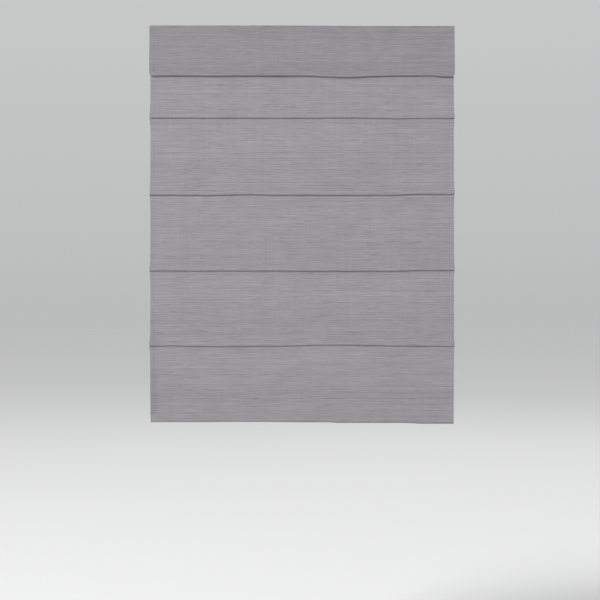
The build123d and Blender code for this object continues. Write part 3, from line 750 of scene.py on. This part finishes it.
def gather(piece):
    """The piece rides on the rail, with a mesh of its own."""
    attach(piece, "headrail")
    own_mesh(piece)


def valance_profile():
    """The valance's middle line: straight off the tape, out to its hem and up behind it."""
    foot = valance_low.z
    front = valance_low.y + VALANCE_SET_BACK
    back = front + LAYER_PITCH
    lip = foot + THICKNESS / 2 + LAYER_PITCH / 2
    top_y = LAYER_IN - VALANCE_TOP_GAP
    straight = run_of((top_y, TOP), (top_y, TOP - VALANCE_STRAIGHT), 6)
    slope = run_of((top_y, TOP - VALANCE_STRAIGHT), (front, foot + VALANCE_HEM), 30)
    rows = [*straight, *slope[1:]]
    rows += [(front, z) for z in np.linspace(foot + VALANCE_HEM, lip, 8)[1:]]
    rows += [*turn_of((front, lip), (back, lip), 8)[1:]]
    rows += [(back, z) for z in np.linspace(lip, foot + VALANCE_HEM, 6)[1:]]
    rows = np.array(rows)
    share = np.clip((TOP - rows[:, 1]) / (TOP - foot), 0, 1)
    return np.column_stack([rows, share, np.sin(math.pi * share) ** 2])


def valance_sway(line, x):
    """The same for the valance, where line 0 is its top and all the others are its foot."""
    if line == 0:
        return sway(0, x)
    left = -0.0005 - 0.0015 * bump(x, -0.44, 0.02) - 0.0009 * bump(x, -0.26, 0.04)
    right = -0.005 * bump(x, 0.135, 0.075) - 0.0014 * bump(x, 0.055, 0.03)
    return left + right - 0.003 * smooth((x - 0.38) / 0.05)


def build_valance():
    """The flap over the top of the cloth, with pressed side hems and soft lower corners."""
    columns = column_places()
    profile = valance_profile()
    grid, uvs, drop = sheet_grid(profile, columns, valance_sway, pull=False)
    hem_ridge(grid, columns, VALANCE_RIDGE)
    foot = valance_low.z
    level = np.clip((VALANCE_CORNER - (grid[:, :, 2] - foot)) / VALANCE_CORNER, 0, 1)
    inset = VALANCE_CORNER * (1 - np.sqrt(1 - level**2)) * np.where(columns < 0, 1.0, 0.6)[None, :]
    edge = smooth((np.abs(columns) - HALF_WIDTH) / VALANCE_CORNER_REACH + 1)[None, :]
    grid[:, :, 0] -= np.sign(columns)[None, :] * edge * inset
    mesh = cloth_mesh("valance_cloth", grid, uvs)
    piece = finish_piece(add_object("valance_cloth", mesh), valance_fabric_painted_shade, "headrail")
    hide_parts("valance")


def build_lining():
    """The lining: a flat sheet, held at the rail and hanging below it."""
    half = lining_high.x
    y = (lining_low.y + lining_high.y) / 2
    foot = lining_low.z
    columns = np.linspace(-half, half, 90)
    pieces = {}
    for name, upper, lower, rows in (("lining_top", TOP, HELD_Z, 4), ("lining_panels", HELD_Z, foot, 160)):
        x, z = np.meshgrid(columns, np.linspace(upper, lower, rows))
        ripple = LINING_RIPPLE * np.sin(37 * x + 9 * z) * np.sin(23 * z)
        grid = np.stack([x, y + ripple, z], -1)
        mesh = cloth_mesh(name, grid, np.stack([x, z], -1), LINING_THICKNESS)
        pieces[name] = finish_piece(add_object(name, mesh), lining_fabric)
        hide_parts("lining")
    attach(pieces["lining_top"], "headrail")
    gather(pieces["lining_panels"])


def build_threads():
    """The stitches along each rib pocket and the thread that holds each ring."""
    template = stitch_template(STITCH_LENGTH, THREAD_RADIUS)
    for number, (low, high) in enumerate(pocket_boxes, start=1):
        seam = low.y + SEAM_DEPTH
        count = int((high.x - low.x - 2 * SEAM_END) / STITCH_PITCH)
        across = low.x + SEAM_END + np.arange(count) * STITCH_PITCH
        places = [(x, seam, z) for z in (low.z + STITCH_INSET, high.z - STITCH_INSET) for x in across]
        stitches = add_object(f"pocket_stitches_{number}", copies_mesh("stitches", template, places))
        finish_piece(stitches, thread, f"rib_{number}_set")
        level = (low.z + high.z) / 2
        loops = []
        for side in SIDES.values():
            for offset in (-TIE_PITCH, 0.0, TIE_PITCH):
                angles = np.linspace(0, 2 * math.pi, 20, endpoint=False)
                path = [(side * STATION_X + offset, high.y + 0.0006 + 0.0014 * math.cos(a),
                         level + 0.0013 * math.sin(a)) for a in angles]
                loops.append(tube_mesh("loop", path, THREAD_RADIUS, 6, closed=True))
        ties = add_object(f"ring_ties_{number}", merged_mesh("ties", loops))
        finish_piece(ties, thread, f"rib_{number}_set")


def build_rings():
    """The rings as round wire."""
    for number, (low, high) in enumerate(ring_boxes, start=1):
        centre_y = (low.y + high.y) / 2
        level = (low.z + high.z) / 2
        meshes = []
        for side in SIDES.values():
            angles = np.linspace(0, 2 * math.pi, 48, endpoint=False)
            path = [(side * STATION_X + RING_RADIUS * math.cos(a), centre_y + RING_RADIUS * math.sin(a),
                     level) for a in angles]
            meshes.append(tube_mesh("ring", path, RING_WIRE, 14, closed=True))
        piece = add_object(f"round_rings_{number}", merged_mesh("rings", meshes))
        finish_piece(piece, SLOT_MATERIALS["white_plastic"], f"rib_{number}_set")
        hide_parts(f"rings_{number}")


def build_cords():
    """The lift cords, their knots, and the turns that stay on the spools."""
    for side_name, side in SIDES.items():
        low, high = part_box(f"lift_cord_{side_name}")
        x = (low.x + high.x) / 2
        knot_z = low.z + KNOT_RISE
        path = [(x, CORD_Y, z) for z in np.linspace(high.z, knot_z, 60)]
        cord = add_object(f"lift_line_{side_name}", tube_mesh("cord", path, CORD_RADIUS, 10))
        finish_piece(cord, cord_fabric)
        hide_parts(f"lift_cord_{side_name}")
        gather(cord)
        angles = np.linspace(0, 2 * math.pi, 60, endpoint=False)
        path = [(x + KNOT_SIZE * (math.sin(a) + 2 * math.sin(2 * a)),
                 CORD_Y + KNOT_SIZE * (math.cos(a) - 2 * math.cos(2 * a)),
                 knot_z - KNOT_HEIGHT * math.sin(3 * a)) for a in angles]
        mesh = tube_mesh("knot", path, CORD_RADIUS * 0.95, 8, closed=True)
        knot = add_object(f"cord_knot_{side_name}", mesh)
        finish_piece(knot, cord_fabric, "bottom_rail")
    turns = []
    radius = SPOOL_RADIUS + CORD_RADIUS
    for side in SIDES.values():
        angles = np.linspace(0, SAFETY_TURNS * 2 * math.pi, SAFETY_TURNS * 36)
        start = STATION_X - CORD_RADIUS - 0.00002
        path = [(side * (start - CORD_RADIUS - 2 * CORD_RADIUS * (SAFETY_TURNS - 1) * a / angles[-1]),
                 SHAFT_Y - radius * math.cos(a), SHAFT_Z + radius * math.sin(a)) for a in angles]
        turns.append(tube_mesh("turns", path, CORD_RADIUS, 10))
    wraps = add_object("cord_turns", merged_mesh("wraps", turns))
    finish_piece(wraps, cord_fabric, "drive")
    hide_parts("cord_wraps")


def build_spring():
    """The flat spring as one long strip: its turns on each drum and the band between them."""
    low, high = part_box("power_spring")
    storage_y = (storage_low.y + storage_high.y) / 2
    storage_hub = storage_high.z - SHAFT_Z
    output_hub = 0.0065
    storage_out = high.z - SHAFT_Z
    output_out = output_hub + 0.00085
    far = storage_out - SPRING_STEEL / 2
    near = output_out - SPRING_STEEL / 2
    lean = math.asin((far + near) / (storage_y - SHAFT_Y))
    steps = 48
    turns = SPRING_ROLLS[0]
    first = storage_hub + SPRING_GAP + SPRING_STEEL / 2
    line = []
    for i in range(turns * steps + 1):
        a = 2 * math.pi * i / steps
        r = first + (far - first) * i / (turns * steps)
        angle = math.pi / 2 + lean - 2 * math.pi * turns + a
        line.append((storage_y + r * math.cos(angle), SHAFT_Z + r * math.sin(angle)))
    turns = SPRING_ROLLS[1]
    first = output_hub + SPRING_GAP + SPRING_STEEL / 2
    for i in range(turns * steps + 1):
        r = near + (first - near) * i / (turns * steps)
        angle = -math.pi / 2 + lean - 2 * math.pi * i / steps
        line.append((SHAFT_Y + r * math.cos(angle), SHAFT_Z + r * math.sin(angle)))
    line = np.array(line)
    edges = [np.column_stack([np.full(len(line), x), line]) for x in np.linspace(low.x, high.x, 3)]
    rows = np.stack(edges, 1)
    uvs = np.zeros((*rows.shape[:2], 2))
    piece = add_object("spring_strip", cloth_mesh("spring", rows, uvs, SPRING_STEEL))
    finish_piece(piece, SLOT_MATERIALS["spring_steel"], "headrail")
    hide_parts("power_spring")


def build_eyelets():
    """The cord eyelets with rounded rims."""
    low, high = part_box("cord_eyelets")
    bore, bush, flange = 0.0016, 0.0032, 0.0046
    base = rail_low.z
    rim = 0.0006
    quarter = np.linspace(0, math.pi / 2, 6)
    bottom = [(bore + rim - rim * math.cos(a), low.z + rim - rim * math.sin(a)) for a in quarter]
    top = [(bore + rim - rim * math.cos(a), high.z - rim + rim * math.sin(a)) for a in quarter[::-1]]
    outer = [(flange - rim / 2, low.z), (flange, low.z + rim / 2), (flange, base), (bush, base),
             (bush, high.z)]
    profile = [*bottom, *outer, *top]
    meshes = [lathe_mesh("eyelet", profile, (side * STATION_X, CORD_Y, 0.0)) for side in SIDES.values()]
    piece = add_object("rounded_eyelets", merged_mesh("eyelets", meshes))
    finish_piece(piece, SLOT_MATERIALS["grey_plastic"], "headrail")
    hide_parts("cord_eyelets")


# Floor, light and view


def build_stage():
    """A wide pale floor under a pale sky."""
    corners = [(x * FLOOR_HALF_SIZE, y * FLOOR_HALF_SIZE, FLOOR_Z)
               for x, y in ((-1, -1), (1, -1), (1, 1), (-1, 1))]
    floor = add_object("floor", mesh_from("floor", corners, [(0, 1, 2, 3)]))
    pale = new_material("floor", Base_Color=FLOOR_COLOUR, Roughness=0.9, Specular_IOR_Level=0.1)[0]
    floor.data.materials.append(pale)
    world = bpy.data.worlds.new("sky")
    bpy.context.scene.world = world
    world.use_nodes = True
    tree = world.node_tree
    way = put(tree, "ShaderNodeSeparateXYZ", Vector=put(tree, "ShaderNodeTexCoord").outputs["Generated"])
    height = maths(tree, "POWER", maths(tree, "MAXIMUM", way.outputs["Z"], 0.0), SKY_CURVE)
    strength = maths(tree, "MULTIPLY_ADD", height, SKY_GAIN, SKY_AT_HORIZON)
    tree.nodes["Background"].inputs["Color"].default_value = SKY_COLOUR
    tree.links.new(strength, tree.nodes["Background"].inputs["Strength"])


def area_light(name, place, target, size, power):
    """A soft square light that points at a target."""
    lamp = bpy.data.lights.new(name, "AREA")
    lamp.shape = "SQUARE"
    lamp.size = size
    lamp.energy = power
    holder = bpy.data.objects.new(name, lamp)
    bpy.context.scene.collection.objects.link(holder)
    holder.location = place
    direction = Vector(target) - Vector(place)
    holder.rotation_mode = "QUATERNION"
    holder.rotation_quaternion = direction.to_track_quat("-Z", "Y")


def build_lights():
    """A wide key from the front, left and above, and a weak light for the back."""
    area_light("key", place=(-6.5, -9.2, 8.4), target=(0.0, 0.0, -0.6), size=3.8, power=1920)
    area_light("back", place=(3.0, 8.5, 6.5), target=(0.0, 0.0, -0.5), size=4.0, power=150)


def build_camera():
    """The view straight at the blind."""
    lens = bpy.data.cameras.new("view")
    lens.lens = VIEW_LENS
    lens.sensor_width = 36
    lens.clip_end = 200
    holder = bpy.data.objects.new("view", lens)
    bpy.context.scene.collection.objects.link(holder)
    holder.location = (VIEW_CENTRE[0], LAYERS_OUT[0] - VIEW_DISTANCE, VIEW_CENTRE[1])
    holder.rotation_euler = (math.pi / 2, 0, 0)
    bpy.context.scene.camera = holder
    bpy.context.scene.view_settings.view_transform = "Standard"


dress_nodes()
build_face()
build_valance()
build_lining()
build_threads()
build_rings()
build_cords()
build_spring()
build_eyelets()
build_stage()
build_lights()
build_camera()
